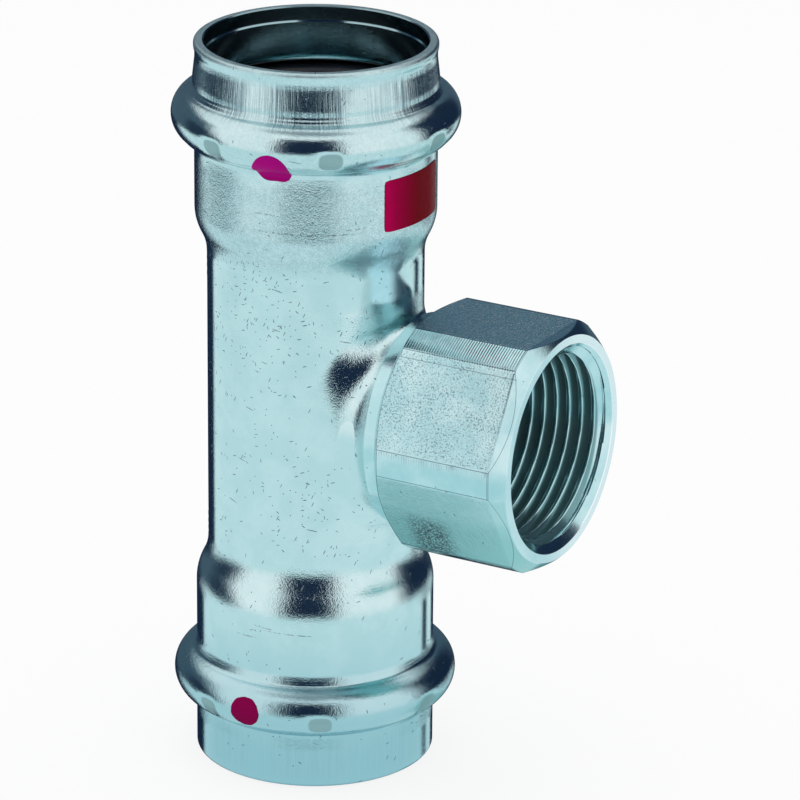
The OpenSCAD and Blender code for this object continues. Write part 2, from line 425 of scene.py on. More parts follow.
class Finish(Graph):
    """A new material with a Principled shader, its Object coordinates, and the shared effects."""

    def __init__(self, name: str) -> None:
        """Makes the material with its shader and output.

        Args:
            name: name of the material.
        """
        self.material = bpy.data.materials.new(name)
        self.material.use_nodes = True
        super().__init__(self.material.node_tree)
        self.shader = self.tree.nodes["Principled BSDF"]
        self.place = self.node("ShaderNodeTexCoord", {}).outputs["Object"]
        split = self.node("ShaderNodeSeparateXYZ", {0: self.place})
        self.x, self.y, self.z = split.outputs
        self.turn = self.math("ARCTAN2", self.y, self.x)

    def way(self, radius: float) -> Socket:
        """Way round the run from its +X side, on a wall of that radius in millimetres."""
        return self.times(self.turn, radius * MM)

    def unrolled(self, radius: float) -> Socket:
        """Places on the run's wall laid flat: the way round, then the height."""
        return self.node("ShaderNodeCombineXYZ", {0: self.way(radius), 1: self.z}).outputs[0]

    def span(self, a: Value, b: Value) -> Socket:
        """Length of the flat vector (a, b)."""
        return self.math("SQRT", self.plus(self.times(a, a), self.times(b, b)))

    def slope(self, value: Socket, low: float, high: float, to_low: float = 0.0,
              to_high: float = 1.0) -> Socket:
        """Ramp on a value, with its ends in millimetres."""
        return self.ramp(value, low * MM, high * MM, to_low, to_high)

    def cubed(self, value: Socket, half: float) -> Socket:
        """Third power of a length's size, counted in halves of a width in millimetres."""
        return self.math("POWER", self.math("ABSOLUTE", self.math("DIVIDE", value, half * MM)), 3.0)

    def coats(self, tint: Socket, *layers: tuple[Socket, Value, Colour]) -> Socket:
        """A colour under layers: each layer's mask times its share mixes its own colour in."""
        for mask, share, colour in layers:
            tint = self.mix(self.times(mask, share), tint, colour)
        return tint

    def nicks(self, vector: Socket, scale: float, share: Value, size: float) -> Socket:
        """Mask of small marks, one in each cell of the pattern that the share lets through."""
        return self.effect(Effect.NICKS, Vector=vector, Scale=scale, Share=share, Size=size)["Mask"]

    def window(self, value: Socket, low: float, high: float, soft: float) -> Socket:
        """Soft window on a value, with its edges in millimetres."""
        return self.effect(Effect.WINDOW, Value=value, Low=low * MM, High=high * MM, Soft=soft * MM)["Mask"]

    def set(self, **values: Value | Colour) -> None:
        """Sets or links the shader's sockets; an underscore in a name stands for a space."""
        for key, value in values.items():
            self.feed(self.shader.inputs[key.replace("_", " ")], value)

    def bump(self, height: Socket, distance: float) -> Socket:
        """Normal of a Bump node whose full height is the distance in millimetres."""
        return self.node("ShaderNodeBump", {"Height": height, "Distance": distance * MM}).outputs[0]


@dataclass(frozen=True)
class WallMasks:
    """Masks of the run's places and marks, each from 0 to about 1.

    Speckled is the upper barrel with some of its bead. Bends are the lower bead and shoulder.
    Lines are the drag lines, marks the nicks and scratches, and pads the dimples' flats.
    """

    inside: Socket
    outside: Socket
    rim: Socket
    neck: Socket
    speckled: Socket
    bends: Socket
    lines: Socket
    marks: Socket
    pads: Socket


@dataclass(frozen=True)
class ZincSteel:
    """Galvanised and chromated steel of the formed run; lengths and heights in millimetres.

    A dimple row is its first direction in degrees and its height. A scratch is its start and end
    on the way round, its height, its lean and half its width. A way of the short scratches is
    their direction in degrees, their stretch and their share. A drag, like the crowd of nicks, is
    its start and its end on the way round. The other pairs are bands of height.
    """

    pale: Colour = (0.66, 0.83, 0.85)
    cool: Colour = (0.60, 0.79, 0.81)
    # painted shade colour for the wall towards the bottom
    low: Colour = (0.36, 0.60, 0.66)
    slate: Colour = (0.16, 0.27, 0.33)
    dark: Colour = (0.03, 0.05, 0.08)
    # painted shade colour for the inside of the mouths
    inner: Colour = (0.27, 0.42, 0.47)
    dull: Colour = (0.30, 0.45, 0.46)
    grain_per_m: float = 5200.0
    grain_depth: float = 0.018
    tube_r: float = 15.0
    collar_r: float = 15.6
    bead_r: float = 18.0
    inner_r: float = 14.5
    dimple_count: int = 7
    dimple_half: tuple[float, float] = (1.5, 1.15)
    dimples: tuple[tuple[float, float], ...] = ((-57.2, 9.85), (-53.5, 86.35))
    scratches: tuple[tuple[float, ...], ...] = (
        (-22.6, -18.4, 78.3, -0.02, 0.06), (-22.9, -11.4, 76.0, -0.01, 0.08), (-11.4, -9.8, 76.4, 0.05, 0.1),
        (-23.0, -21.2, 22.0, -0.10, 0.09), (-21.6, -16.4, 21.5, -0.03, 0.03), (-25.7, -23.8, 20.3, 0.0, 0.08))
    ways: tuple[tuple[float, float, float], ...] = (
        (12.0, 0.20, 0.30), (-38.0, 0.24, 0.22), (64.0, 0.17, 0.26), (100.0, 0.22, 0.16), (-12.0, 0.08, 0.10))
    drags: tuple[tuple[float, float], ...] = (
        (-29.6, -25.2), (-20.4, -13.2), (-4.6, 2.0), (14.0, 19.0), (33.0, 38.0))
    crowd_way: tuple[float, float] = (-25.5, -19.5)
    crowd_band: tuple[float, float] = (59.5, 68.0)
    lower_collar: tuple[float, float] = (2.0, 5.8)
    lower_bead: tuple[float, float] = (5.5, 15.0)
    lower_shoulder: tuple[float, float] = (23.5, 29.0)
    neck_band: tuple[float, float] = (33.0, 64.0)
    upper_barrel: tuple[float, float] = (71.5, 81.0)
    upper_bead: tuple[float, float] = (84.0, 97.5)
    upper_collar: tuple[float, float] = (91.0, 94.4)

    def wear(self, f: Finish) -> Socket:
        """Mask of tiny nicks and of short straight scratches that lie five ways, thick in places."""
        flat = f.unrolled(self.tube_r)
        crowd = f.ramp(f.noise(flat, 90.0, 2.0), 0.40, 0.64, 0.3, 1.4)
        patch = f.times(f.window(f.way(self.tube_r), *self.crowd_way, 3.0),
                        f.window(f.z, *self.crowd_band, 4.0))
        crowd = f.scaled(patch, 1.6, crowd)
        plain = f.times(f.slope(f.z, 22.0, 34.0, 0.22, 1.0), f.slope(f.z, 74.0, 70.0, 0.4, 1.0))
        crowd = f.times(crowd, plain)
        found = f.nicks(flat, 1150.0, f.times(crowd, 0.16), 0.065)
        for lean, thin, share in self.ways:
            along = f.stretched(flat, (thin, 1.0, 1.0), (0.0, 0.0, lean))
            scratch = f.nicks(along, 1050.0, f.times(crowd, share), 0.048)
            found = f.most(found, f.times(scratch, 0.8))
        return found

    def scuffs(self, f: Finish) -> Socket:
        """Mask of a few long scratches round the barrels, each straight on the wall."""
        turn = f.way(self.tube_r)
        found: Value = 0.0
        for start, end, height, lean, half in self.scratches:
            off = f.scaled(f.minus(turn, start * MM), -lean, f.minus(f.z, height * MM))
            strip = f.times(f.window(turn, start, end, 0.8), f.window(off, -half, half, 0.05))
            found = f.most(found, strip)
        ragged = f.ramp(f.noise(f.unrolled(self.tube_r), 2600.0, 3.0), 0.44, 0.6)
        return f.times(found, ragged)

    def pads(self, f: Finish) -> Socket:
        """Mask of the dull flats that the dimples leave on both beads."""
        half_pitch = math.pi / self.dimple_count
        wide, high = self.dimple_half
        found: Value = 0.0
        for first, height in self.dimples:
            off = f.math("WRAP", f.minus(f.turn, math.radians(first)), half_pitch, -half_pitch)
            across = f.cubed(f.times(off, self.bead_r * MM), wide)
            up = f.cubed(f.minus(f.z, height * MM), high)
            found = f.most(found, f.ramp(f.plus(across, up), 1.25, 0.75))
        return found

    def drag_lines(self, f: Finish) -> Socket:
        """Mask of the lines dragged up the collars, strongest in a few stretches of the way round."""
        flat = f.unrolled(self.collar_r)
        drag = f.noise(f.stretched(flat, (1.0, 0.022, 1.0)), 4600.0, 2.0, 0.75)
        collars = f.scaled(f.window(f.z, *self.lower_collar, 1.6), 0.12,
                           f.window(f.z, *self.upper_collar, 1.5))
        turn = f.way(self.tube_r)
        zones = f.most(*(f.window(turn, start, end, 1.6) for start, end in self.drags))
        patches = f.ramp(f.noise(flat, 160.0, 2.0), 0.3, 0.6, 0.12, 0.5)
        patches = f.math("MINIMUM", f.scaled(zones, 0.7, patches), 1.0)
        return f.times(f.ramp(drag, 0.40, 0.60, smooth=False), f.times(collars, patches))

    def masks(self, f: Finish) -> WallMasks:
        """Finds the places on the run by radius and height, with their marks.

        Args:
            f: the finish.

        Returns:
            All masks.
        """
        ends = f.most(f.slope(f.z, 71.0, 73.0), f.slope(f.z, 26.0, 24.0))
        inside = f.times(f.slope(f.span(f.x, f.y), self.inner_r, self.inner_r - 0.05), ends)
        outside = f.minus(1.0, inside)
        barrel = f.scaled(f.window(f.z, *self.upper_bead, 2.0), 0.45,
                          f.window(f.z, *self.upper_barrel, 2.5))
        return WallMasks(
            inside=inside,
            outside=outside,
            rim=f.times(f.slope(f.z, 96.2, 96.6), outside),
            neck=f.times(f.slope(f.x, 8.5, 11.0), f.window(f.z, *self.neck_band, 1.0)),
            speckled=f.times(barrel, outside),
            bends=f.most(f.window(f.z, *self.lower_bead, 1.0), f.window(f.z, *self.lower_shoulder, 1.5)),
            lines=f.times(self.drag_lines(f), outside),
            marks=f.most(self.wear(f), f.times(self.scuffs(f), 0.6)),
            pads=self.pads(f))

    def colour(self, f: Finish, grain: dict[str, Socket], at: WallMasks) -> Socket:
        """Pale zinc with painted shade low down, inside, near each mouth and on the lower edge; slate in
        grain and lines; dark marks.
        """
        # painted shade: a dark band just inside each mouth, below the rim
        lead = f.times(at.inside, f.most(f.slope(f.z, 95.0, 95.1), f.slope(f.z, 2.0, 1.9)))
        specks = f.times(f.ramp(grain["Height"], 0.55, 0.95, smooth=False), at.speckled)
        return f.coats(f.mix(f.ramp(grain["Cloud"], 0.38, 0.66), self.cool, self.pale),
                       # painted shade: the wall darkens towards the bottom
                       (f.slope(f.z, 27.0, 3.0), 1.0, self.low),
                       (specks, 0.35, self.slate),
                       (at.lines, 0.8, self.slate),
                       # painted shade: a dark line round the bottom edge, where the run meets the floor
                       (f.slope(f.z, 0.5, 0.1), 0.6, self.slate),
                       (at.pads, 0.85, self.dull),
                       # painted shade: the inside darker, and darker still in a band just inside each mouth
                       (at.inside, 0.76, self.inner),
                       (lead, 0.25, self.dark),
                       (at.marks, 0.8, self.dark))

    def roughness(self, f: Finish, at: WallMasks) -> Socket:
        """A soft gloss, duller on the rim, in pads and lines, and in the marks."""
        rough = f.scaled(f.most(at.speckled, at.bends), 0.03, 0.11)
        rough = f.scaled(at.rim, 0.2, rough)
        rough = f.scaled(f.most(at.pads, f.times(at.lines, 0.5)), 0.25, rough)
        return f.scaled(at.marks, 0.25, rough)

    def relief(self, f: Finish, grain: dict[str, Socket], at: WallMasks) -> Socket:
        """Height of the grain, deeper on rim, neck, beads and barrels, with lines up and marks down."""
        amount = f.scaled(at.speckled, 1.5, f.scaled(at.bends, 1.3, 0.45))
        amount = f.scaled(at.rim, 3.5, f.scaled(at.neck, 1.4, amount))
        height = f.scaled(at.lines, 0.6, f.times(grain["Height"], amount))
        return f.scaled(at.marks, -0.6, height)

    def material(self) -> bpy.types.Material:
        """Builds the finish: pale zinc, grey speckled grain in patches of the barrels, drag lines
        up the collars, nicks and scratches, dull dimples, and painted shade inside, near the mouths, low down
        and on the lower edge.

        Returns:
            The material.
        """
        f = Finish("zinc_steel")
        grain = f.effect(Effect.GRAIN, Vector=f.place, Scale=self.grain_per_m)
        at = self.masks(f)
        f.set(Base_Color=self.colour(f, grain, at), Metallic=1.0, Roughness=self.roughness(f, at),
              Normal=f.bump(self.relief(f, grain, at), self.grain_depth))
        return f.material


@dataclass(frozen=True)
class TurnedSteel:
    """Zinc-plated steel of the machined hexagonal branch; lengths in millimetres."""

    pale: Colour = (0.60, 0.82, 0.85)
    cool: Colour = (0.46, 0.72, 0.76)
    dark: Colour = (0.06, 0.09, 0.11)
    pit: Colour = (0.12, 0.20, 0.25)
    # painted shade colour for the lower flats
    under: Colour = (0.34, 0.62, 0.62)
    # painted shade colour for the threaded bore
    thread: Colour = (0.04, 0.19, 0.21)
    # painted light: a lighter tone for the top flat; the next colour is white for painted glints and
    # highlights
    top: Colour = (0.50, 0.84, 0.94)
    bright: Colour = (0.95, 0.98, 1.0)
    grain_per_m: float = 3900.0
    grain_depth: float = 0.018
    ring_pitch: float = 0.36
    axis_z: float = 48.5
    corner_r: float = 16.3
    bore_r: float = 13.6
    rim_r: float = 14.75
    seam_r: float = 13.9

    def edge_lines(self, f: Finish, radius: Socket, off_z: Socket) -> Socket:
        """Mask of the thin lines of painted shade where cones and corners cut the flats, and of one scribed
        line.

        The cones lie at x = 36.4 - 1.8 (r - 14.75) / 1.7 and x = 16.8 + 1.75 (r - 13.9) / 2.55.
        The scribed line lies on the flat whose outward way is (-cos 30, sin 30) in Y and Z.

        Args:
            f: the finish.
            radius: distance from the branch's axis.
            off_z: height over the axis.

        Returns:
            The mask.
        """
        front = f.scaled(f.minus(radius, self.rim_r * MM), 1.8 / 1.7, f.x)
        rear = f.scaled(f.minus(radius, self.seam_r * MM), -1.75 / 2.55, f.x)
        rim = f.times(f.window(radius, 14.64, 14.78, 0.05), f.slope(f.x, 36.2, 36.3))
        out = f.scaled(f.y, -0.866, f.times(off_z, 0.5))
        along = f.scaled(f.y, 0.5, f.times(off_z, 0.866))
        scribed = f.times(f.window(along, 5.52, 5.58, 0.05), f.slope(out, 14.9, 14.97))
        return f.most(f.window(front, 36.3, 36.34, 0.05), f.window(rear, 16.86, 16.9, 0.05),
                      f.window(radius, 16.38, 16.41, 0.02), rim, f.times(scribed, 0.8))

    def material(self) -> bpy.types.Material:
        """Builds the finish: pitted flats, turning rings on the round corners, painted shade on the cut
        edges, in the thread and on the lower flats, a top flat painted lighter with glints, a painted
        end-face highlight and a painted dark reflection low on the viewer's side.

        Returns:
            The material.
        """
        f = Finish("turned_steel")
        off_z = f.minus(f.z, self.axis_z * MM)
        radius = f.span(f.y, off_z)
        corner = f.slope(radius, self.corner_r - 0.05, self.corner_r + 0.05)
        outside = f.slope(radius, self.bore_r + 1.3, self.bore_r + 1.4)
        ends = f.most(f.slope(f.x, 34.3, 34.7), f.slope(f.x, 17.7, 17.4))
        flats = f.times(outside, f.minus(1.0, f.most(corner, ends)))
        # painted light: the top flat, painted lighter and with white glints
        above = f.slope(off_z, 14.9, 14.98)
        grain = f.effect(Effect.GRAIN, Vector=f.place, Scale=self.grain_per_m)
        rings = f.effect(Effect.RINGS, Place=f.x, Period=self.ring_pitch * MM, Vector=f.place)["Height"]
        flat_place = f.node("ShaderNodeCombineXYZ", {0: f.x, 1: f.plus(f.z, f.y)}).outputs[0]
        fine = f.noise(f.place, 5000.0, 2.0, 0.7)
        sparse = f.ramp(f.noise(f.place, 230.0, 1.0), 0.35, 0.65, 0.565, 0.525)
        pits = f.times(f.ramp(fine, sparse, f.plus(sparse, 0.07)), flats)
        # painted shade: the lower flats tinted darker teal
        below = f.scaled(f.slope(off_z, -1.8, -2.6), 0.5, f.slope(off_z, -5.0, -9.0, 0.0, 0.5))
        # painted reflection: a dark patch low on the viewer's side, near the tube
        corner_low = f.times(f.slope(f.y, -6.5, -9.0), f.slope(off_z, -6.5, -9.5))
        dark_reflection = f.times(f.window(f.x, 22.5, 25.0, 3.0), corner_low)
        # painted shade: the threaded bore darker and less metallic
        groove = f.times(f.slope(radius, 13.55, 13.5), f.slope(radius, 12.12, 12.22),
                         f.slope(f.x, 34.9, 34.7))
        # painted highlight: the end face whitened, more on the side away from the viewer
        face = f.times(f.slope(f.x, 36.25, 36.35), f.slope(f.y, -6.0, 4.0, 0.2, 0.9))
        # painted light and shade below: lower flats, dark reflection, thread, top flat with glints, cut edges
        # and end face; pits and nicks are real marks
        colour = f.coats(f.mix(f.ramp(grain["Cloud"], 0.35, 0.7), self.cool, self.pale),
                         (below, outside, self.under),
                         (pits, f.slope(off_z, -1.6, -2.2, 0.75, 0.14), self.pit),
                         (f.ramp(f.noise(f.place, 4600.0, 2.0), 0.36, 0.62), dark_reflection, self.dark),
                         (groove, 0.7, self.thread),
                         (above, 0.9, self.top),
                         (above, f.ramp(fine, 0.48, 0.38, smooth=False), self.bright),
                         # painted shade: dark lines along the cut edges, with one real scribed line
                         (f.times(self.edge_lines(f, radius, off_z), outside), 0.65, self.dark),
                         (face, 1.0, self.bright),
                         (f.nicks(flat_place, 700.0, 0.06, 0.05), 0.7, self.dark))
        height = f.times(grain["Height"], f.scaled(flats, 2.6, 0.35))
        height = f.scaled(f.times(rings, corner), 1.3, height)
        f.set(Base_Color=colour, Metallic=f.scaled(groove, -0.3, 1.0),
              Roughness=f.scaled(flats, 0.10, 0.16), Normal=f.bump(height, self.grain_depth))
        return f.material


@dataclass(frozen=True)
class SealRubber:
    """Black rubber of the seal rings."""

    black: Colour = (0.010, 0.013, 0.020)
    grey: Colour = (0.018, 0.024, 0.036)

    def material(self) -> bpy.types.Material:
        """Builds the finish: near black, dusty in places, with a faint moulded skin."""
        f = Finish("seal_rubber")
        grain = f.effect(Effect.GRAIN, Vector=f.place, Scale=3000.0)
        f.set(Base_Color=f.mix(f.ramp(grain["Cloud"], 0.4, 0.7), self.black, self.grey),
              Roughness=f.scaled(grain["Cloud"], 0.2, 0.28), Specular_IOR_Level=0.5,
              Normal=f.bump(grain["Height"], 0.006))
        return f.material


@dataclass(frozen=True)
class MarkPaint:
    """Paint of the colour marks, which may take painted shade from one direction round the run to another."""

    name: str
    body: Colour
    thin: Colour
    roughness: float
    # painted shade colour, reached towards one side round the run
    shaded_side: Colour | None = None
    shade_turn: tuple[float, float] = (-23.0, -4.0)

    def material(self) -> bpy.types.Material:
        """Builds the finish: body colour, thinner in clouds, with fine pits, a soft gloss and, where given,
        painted shade towards one side.
        """
        f = Finish(self.name)
        grain = f.effect(Effect.GRAIN, Vector=f.place, Scale=5200.0)
        cloud = f.ramp(grain["Cloud"], 0.35, 0.7)
        colour = f.mix(cloud, self.body, self.thin)
        # painted shade: the colour darkens towards one side round the run
        if self.shaded_side is not None:
            share = f.ramp(f.turn, *(math.radians(a) for a in self.shade_turn), smooth=False)
            colour = f.mix(f.math("POWER", share, 0.6), colour, self.shaded_side)
        f.set(Base_Color=colour, Specular_IOR_Level=0.02,
              Roughness=f.scaled(cloud, 0.08, self.roughness), Normal=f.bump(grain["Height"], 0.014))
        return f.material


@dataclass(frozen=True)
class PressSocket:
    """Sizes of one press socket, with heights counted from its own mouth."""

    bead_height: float
    barrel_end: float
    collar_r: float = 15.6
    waist: float = 0.15
    flare: float = 0.15
    rim_round: float = 0.45
    rim_chamfer: float = 0.25
    bore_r: float = 14.2
    bead_centre_r: float = 15.15
    bead_radius: float = 3.35
    barrel_r: float = 15.55
    collar_fillet: float = 1.0
    barrel_fillet: float = 1.1
    shoulder: float = 6.2
    tube_r: float = 14.0
    run_bore_r: float = 12.5
    groove_r: float = 2.0
    throat_round: float = 1.3
    lead_in: float = 1.85
    lead_step: float = 0.12
    lead_cone: float = 0.25
    stop_reach: float = 12.8
    stop_cone: float = 5.0
    ledge_height: float = 6.1
    ridge_height: float = 12.6

    def fillet_turn(self, wall_r: float, fillet: float) -> tuple[float, float]:
        """Where a fillet of that radius rolls on a wall and the bead.

        Args:
            wall_r: radius of the wall.
            fillet: radius of the fillet.

        Returns:
            The fillet's centre as a distance from the crest's height, and the angle of the touching
            point on the bead in degrees.
        """
        out = wall_r + fillet - self.bead_centre_r
        reach = math.sqrt((self.bead_radius + fillet) ** 2 - out ** 2)
        return reach, math.degrees(math.atan2(reach, out))

    def outside(self) -> list[Strip]:
        """Outer section from the rim to the tube: rim, waisted collar, bead, barrel and shoulder.

        The collar keeps only the rows at which its section bends.
        """
        low, low_turn = self.fillet_turn(self.collar_r + self.flare, self.collar_fillet)
        high, high_turn = self.fillet_turn(self.barrel_r, self.barrel_fillet)
        q, h = self.rim_round, self.bead_height
        waist_r, wide_r = self.collar_r - self.waist, self.collar_r + self.flare
        top = h - low
        z = q + (top - q) * np.linspace(0.0, 1.0, 45)
        dip = np.interp(z, [q, 2 * q, 3 * q, 5 * q, h - 1.4 * self.bead_radius],
                        [self.collar_r, self.collar_r, waist_r, waist_r, wide_r])
        kernel = np.array([1, 2, 3, 2, 1]) / 9.0
        padded = np.concatenate([np.full(2, dip[0]), dip, np.full(2, dip[-1])])
        r = np.convolve(padded, kernel, "valid")
        slope = np.gradient(r, z)
        slope[[0, -1]] = 0.0
        turning = np.abs(np.diff(slope)) > 1e-9
        keep = np.ones(len(r), bool)
        keep[1:-1] = turning[:-1] | turning[1:] | (np.abs(np.diff(r, 2)) > 1e-9)
        normals = unit(np.stack([np.ones_like(r), -slope], -1))
        collar = Strip(np.stack([r, z], -1)[keep], normals[keep])
        bend = (self.shoulder / 2) ** 2 + ((self.barrel_r - self.tube_r) / 2) ** 2
        bend /= self.barrel_r - self.tube_r
        swing = math.degrees(math.asin(self.shoulder / 2 / bend))
        end = self.barrel_end
        ridge_end = h + high + (end - h - high) / 14
        return [
            arc((self.collar_r - q, q), q, -90, 0, 8),
            collar,
            arc((wide_r + self.collar_fillet, top), self.collar_fillet, 180, 180 - low_turn, 14, True),
            arc((self.bead_centre_r, h), self.bead_radius, -low_turn, high_turn, 56),
            arc((self.barrel_r + self.barrel_fillet, h + high), self.barrel_fillet, 180 + high_turn, 180,
                14, True),
            line((self.barrel_r, h + high), (self.barrel_r, ridge_end)),
            line((self.barrel_r, ridge_end), (self.barrel_r, end)),
            arc((self.barrel_r - bend, end), bend, 0, swing, 12),
            arc((self.tube_r + bend, end + self.shoulder), bend, 180 + swing, 180, 12, True),
        ]

    def inside(self) -> list[Strip]:
        """Inner section from the rim's flat to the run's bore: chamfer, bore, groove, bore and stop."""
        q, b, h = self.rim_chamfer, self.bore_r, self.bead_height
        out = b + self.throat_round - self.bead_centre_r
        reach = math.sqrt((self.groove_r + self.throat_round) ** 2 - out ** 2)
        half = math.degrees(math.atan2(reach, out))
        stop = h + self.stop_reach
        lead, lead_r = self.lead_in, b + self.lead_step
        throat = (b + self.throat_round, h - reach), (b + self.throat_round, h + reach)
        return [
            line((self.collar_r - self.rim_round, 0.0), (b + q, 0.0), -1),
            line((b + q, 0.0), (lead_r, q - self.lead_step), -1),
            line((lead_r, q - self.lead_step), (lead_r, lead), -1),
            line((lead_r, lead), (b, lead + self.lead_cone), -1),
            line((b, lead + self.lead_cone), (b, h - reach), -1),
            arc(throat[0], self.throat_round, 180, 180 - half, 14),
            arc((self.bead_centre_r, h), self.groove_r, -half, half, 30, True),
            arc(throat[1], self.throat_round, 180 + half, 180, 14),
            line((b, h + reach), (b, stop), -1),
            line((b, stop), (self.run_bore_r, stop + self.stop_cone), -1),
        ]


@dataclass
class TeeBody:
    """The formed run with its two sockets and the drawn neck, one closed skin."""

    columns: int = 180
    side_steps: int = 44
    run_length: float = 97.0
    lower: PressSocket = field(default_factory=lambda: PressSocket(
        10.9, 23.3, waist=0.0, flare=0.0, ledge_height=7.7, ridge_height=14.9))
    upper: PressSocket = field(default_factory=lambda: PressSocket(9.6, 22.0))
    neck_r: float = 12.6
    neck_bore_r: float = 11.0
    neck_reach: float = 15.3
    blend_height: float = 1.0
    blend_side: float = 0.88
    foot_power: float = 3.8
    foot_pull: float = 0.9
    end_pull: float = 0.26
    end_waist: float = 0.3
    dimples: int = 7
    dimple_depth: float = 0.2
    dimple_drop: float = 1.05
    dimple_half: tuple[float, float] = (1.55, 1.3)
    crest_r: float = 18.5
    upper_dimple: float = -54.5
    lower_dimple: float = -58.2
    ledge_rise: float = 0.07
    ledge_half: float = 0.16
    crease_depth: float = 0.05
    crease_half: float = 0.2
    crease_off: float = 0.34
    ridge_rise: float = 0.09
    ridge_half: float = 0.35

    @property
    def branch_z(self) -> float:
        """Height of the branch's axis."""
        return self.run_length / 2

    @property
    def angles(self) -> Array:
        """Directions round the run, from -180 to +180 degrees, both ends kept."""
        return np.linspace(-math.pi, math.pi, self.columns + 1)

    def in_run(self, socket: PressSocket, strips: list[Strip]) -> list[Strip]:
        """Section strips of a socket in the run's own heights."""
        return [s.flipped(self.run_length) for s in strips] if socket is self.upper else strips

    def relief(self, points: Array) -> Array:
        """Rise over the plain skin: dimples pressed in the crests, a ledge and a crease over each
        collar, and a low ridge behind each bead.

        Each form is a bell, exp(-d^2), of the distance d counted in its own half width. Dimples and
        ridges take the fourth power, so that their floors are flat.

        Args:
            points: places in millimetres.

        Returns:
            The rise in millimetres, zero inside the tube.
        """
        x, y, z = np.moveaxis(points, -1, 0)
        around, r = np.arctan2(y, x), np.hypot(x, y)
        outer = r > 15.0
        rise = np.zeros_like(z)
        rows = ((self.lower, z, self.lower_dimple, -self.dimple_drop),
                (self.upper, self.run_length - z, self.upper_dimple, self.dimple_drop))
        pitch = 2 * math.pi / self.dimples
        half_wide, half_high = self.dimple_half
        for socket, height, first, shift in rows:
            turn = (around - math.radians(first) + pitch / 2) % pitch - pitch / 2
            across = turn * self.crest_r / half_wide
            up = (height - socket.bead_height - shift) / half_high
            rise -= self.dimple_depth * np.exp(-(across ** 4 + up ** 4))
            over = height - socket.ledge_height
            rise += self.ledge_rise * np.exp(-((over / self.ledge_half) ** 2))
            rise -= self.crease_depth * np.exp(-(((over - self.crease_off) / self.crease_half) ** 2))
            rise += self.ridge_rise * np.exp(-(((height - socket.ridge_height) / self.ridge_half) ** 4))
        return np.where(outer, rise, 0.0)

    def edge_ring(self, z_low: float, z_high: float) -> tuple[Array, Array]:
        """Loop round the unrolled wall: lower edge, right side, upper edge, left side.

        Args:
            z_low: height of the lower edge.
            z_high: height of the upper edge.

        Returns:
            Directions in radians and heights, the first place repeated at the end.
        """
        side = np.linspace(z_low, z_high, self.side_steps + 1)[1:-1]
        a = self.angles
        turn = np.concatenate([a, np.full(len(side), math.pi), a[::-1], np.full(len(side), -math.pi), a[:1]])
        z = np.concatenate([np.full(len(a), z_low), side, np.full(len(a), z_high), side[::-1], [z_low]])
        return turn, z

    def foot_shape(self, around: Array, power: float) -> tuple[Array, Array]:
        """Points of the superellipse |x|^n + |y|^n = 1 in the directions given; n = 2 is a circle."""
        c, s = np.cos(around), np.sin(around)
        reach = (np.abs(c) ** power + np.abs(s) ** power) ** (-1 / power)
        return reach * c, reach * s

    def window(self, radius: float, z_low: float, z_high: float, share: float, rise: float,
               rows: int, outward: float, power: float = 2.0) -> tuple[Patch, Array]:
        """Cylinder wall with the branch's opening.

        The opening's edge is a superellipse round the branch's axis, share r wide and rise high to
        each side. Each place on the wall lies on the straight way, on the unrolled wall, from the
        opening's edge to the outer edge.

        Args:
            radius: radius of the wall.
            z_low: lower edge.
            z_high: upper edge.
            share: the opening's half width as a share of the radius.
            rise: the opening's half height.
            rows: steps from the opening to the edge.
            outward: 1 for an outer wall, -1 for a bore.
            power: the superellipse's power.

        Returns:
            The grid, and the angle a of each column.
        """
        turn, z = self.edge_ring(z_low, z_high)
        around = np.arctan2(z - self.branch_z, radius * turn)
        side, up = self.foot_shape(around, power)
        inner_turn = np.arcsin(share * side)
        inner_z = self.branch_z + rise * up
        t = (np.linspace(0.0, 1.0, rows + 1) ** 1.4)[:, None]
        a, h = inner_turn + t * (turn - inner_turn), inner_z + t * (z - inner_z)
        normals = outward * np.stack([np.cos(a), np.sin(a), 0.0 * a], axis=-1)
        points = np.stack([radius * np.cos(a), radius * np.sin(a), h], axis=-1)
        return Patch(points, normals), around

    def neck_points(self, around: Array, t: Array) -> Array:
        """Neck surface: a cubic Bezier curve for each column, from the tube's wall to the round end.

        The first pull is a share of the way to the end, laid flat on the wall. The second pull runs
        back along the branch and a little towards its axis.

        Args:
            around: angles round the branch, a row of columns.
            t: shares of the way, a column of rows.

        Returns:
            Rows x columns x 3 points.
        """
        r = self.lower.tube_r
        side, up = self.foot_shape(around, self.foot_power)
        y = r * self.blend_side * side
        foot = np.stack([np.sqrt(r * r - y * y), y, (self.neck_r + self.blend_height) * up], -1)
        end = np.stack([self.neck_reach + 0.0 * y, self.neck_r * np.cos(around),
                        self.neck_r * np.sin(around)], -1)
        wall = foot * np.array([1.0, 1.0, 0.0]) / r
        way = end - foot
        flat = way - (way * wall).sum(-1, keepdims=True) * wall
        ray = np.stack([0.0 * around, np.cos(around), np.sin(around)], -1)
        back = end - self.end_pull * way[:, :1] * (np.array([1.0, 0.0, 0.0]) + self.end_waist * ray)
        t = t[:, None, None]
        curve = ((1 - t) ** 3 * foot + 3 * (1 - t) ** 2 * t * (foot + self.foot_pull * flat)
                 + 3 * (1 - t) * t ** 2 * back + t ** 3 * end)
        return curve + [0.0, 0.0, self.branch_z]

    def neck(self, around: Array, rows: int) -> Patch:
        """Neck grid with normals from small steps both ways."""
        t = np.linspace(0.0, 1.0, rows + 1)
        d = 1e-4
        along = self.neck_points(around, t + d) - self.neck_points(around, t - d)
        across = self.neck_points(around + d, t) - self.neck_points(around - d, t)
        return Patch(self.neck_points(around, t), unit(np.cross(across, along)))

